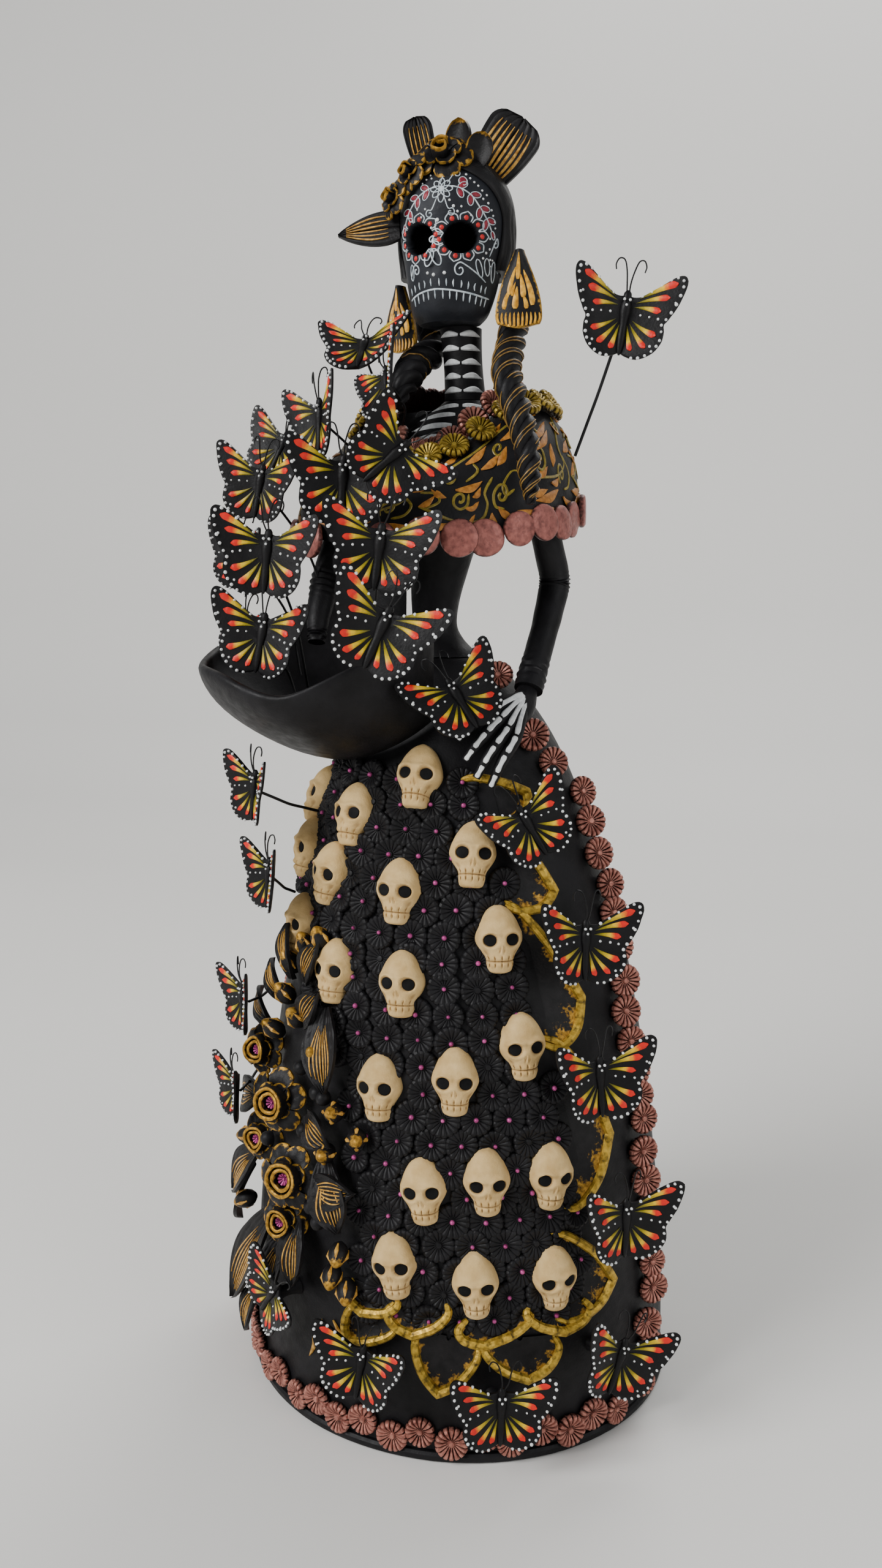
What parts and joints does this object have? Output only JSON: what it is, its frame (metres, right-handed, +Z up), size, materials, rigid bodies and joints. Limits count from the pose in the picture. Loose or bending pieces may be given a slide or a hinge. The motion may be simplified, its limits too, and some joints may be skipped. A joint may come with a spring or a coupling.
{
  "type": "skeleton lady figurine",
  "caption": "Standing skeleton lady in a long bell skirt, painted clay, with small clay skulls, stamped rosettes and butterflies, some on spring wires.",
  "frame": {"origin": "centre of the base slab's underside, on the surface that the figure stands on", "axes": "+Z up; -Y is the figure's front; +X is the viewer's right when facing the front"},
  "size_m": [0.2006, 0.1798, 0.5043],
  "materials": {
    "black_clay": "matte painted clay with a faint hand-rubbed sheen",
    "black_gold_clay": "matte black clay with gold paint on raised edges and veins",
    "bisque_clay": "bare biscuit clay skulls on a matte black ground",
    "painted_bone": "matte charcoal with fine white and dark red brush lines",
    "ochre_painted_clay": "matte black with ochre and olive brown painted scrolls",
    "copper_paint": "copper-pink metallic paint, worn dark in the hollows",
    "gold_paint": "dull gold metallic paint",
    "pink_paint": "dusty pink metallic paint, scuffed",
    "butterfly_paint": "black clay with yellow, olive and red-orange wing cells and white dots",
    "spring_wire": "thin black wire, satin"
  },
  "bodies": {
    "figure": {"base_plate": "black_clay", "bouquet_leaves": "black_gold_clay", "bouquet_rose_lower": "black_gold_clay", "bouquet_rose_upper": "black_gold_clay", "braid_left": "black_gold_clay", "braid_right": "black_gold_clay", "butterfly_breast": "butterfly_paint", "butterfly_by_neck": "butterfly_paint", "butterfly_in_pouch": "butterfly_paint", "butterfly_left_ear": "butterfly_paint", "butterfly_left_shoulder": "butterfly_paint", "butterfly_neckline": "butterfly_paint", "butterfly_outer_top": "butterfly_paint", "butterfly_outer_upper": "butterfly_paint", "butterfly_pouch_front": "butterfly_paint", "butterfly_pouch_left": "butterfly_paint", "butterfly_pouch_outer": "butterfly_paint", "butterfly_pouch_upper": "butterfly_paint", "butterfly_skirt_1": "butterfly_paint", "butterfly_skirt_2": "butterfly_paint", "butterfly_skirt_3": "butterfly_paint", "butterfly_skirt_4": "butterfly_paint", "butterfly_skirt_5": "butterfly_paint", "butterfly_skirt_6": "butterfly_paint", "butterfly_skirt_7": "butterfly_paint", "butterfly_skirt_8": "butterfly_paint", "butterfly_waist_front": "butterfly_paint", "butterfly_waist_upper": "butterfly_paint", "crown_leaf_left": "black_gold_clay", "crown_leaf_right": "black_gold_clay", "crown_roses": "black_gold_clay", "crown_wing_left": "black_gold_clay", "earring_left": "black_gold_clay", "earring_right": "black_gold_clay", "hair": "black_clay", "left_arm": "black_clay", "neck": "painted_bone", "neckline_copper": "copper_paint", "neckline_gold": "gold_paint", "petal_border": "black_gold_clay", "pouch": "black_clay", "right_hand": "painted_bone", "right_sleeve": "black_clay", "rosette_band": "copper_paint", "rosette_panel": "bisque_clay", "ruffle": "ochre_painted_clay", "ruffle_discs": "pink_paint", "skirt_shell": "black_clay", "skull_head": "painted_bone", "torso": "black_clay"},
    "shoulder_butterfly": {"butterfly_shoulder": "butterfly_paint", "wire_shoulder": "spring_wire"},
    "upper_left_butterfly": {"butterfly_upper_left": "butterfly_paint", "wire_upper_left": "spring_wire"},
    "middle_left_butterfly": {"butterfly_middle_left": "butterfly_paint", "wire_middle_left": "spring_wire"},
    "lower_left_butterfly": {"butterfly_lower_left": "butterfly_paint", "wire_lower_left": "spring_wire"},
    "bouquet_butterfly": {"butterfly_bouquet": "butterfly_paint", "wire_bouquet": "spring_wire"}
  },
  "joints": [
    {"name": "shoulder_nod", "type": "hinge", "parent": "figure", "child": "shoulder_butterfly", "pos_m": [0.0468, -0.006, 0.3785], "axis": [0.9703, 0.2419, 0], "range_deg": [-8, 8], "stiffness_Nm_per_rad": 0.2},
    {"name": "upper_left_nod", "type": "hinge", "parent": "figure", "child": "upper_left_butterfly", "pos_m": [-0.0515, -0.0275, 0.24], "axis": [-0.7894, 0.6139, 0], "range_deg": [-8, 8], "stiffness_Nm_per_rad": 0.2},
    {"name": "middle_left_nod", "type": "hinge", "parent": "figure", "child": "middle_left_butterfly", "pos_m": [-0.0625, -0.0275, 0.2055], "axis": [-0.9998, 0.0204, 0], "range_deg": [-8, 8], "stiffness_Nm_per_rad": 0.2},
    {"name": "lower_left_nod", "type": "hinge", "parent": "figure", "child": "lower_left_butterfly", "pos_m": [-0.0775, -0.017, 0.16], "axis": [-0.9999, 0.0172, 0], "range_deg": [-8, 8], "stiffness_Nm_per_rad": 0.2},
    {"name": "bouquet_nod", "type": "hinge", "parent": "figure", "child": "bouquet_butterfly", "pos_m": [-0.085, -0.017, 0.123], "axis": [-0.9954, -0.0963, 0], "range_deg": [-8, 8], "stiffness_Nm_per_rad": 0.2}
  ]
}
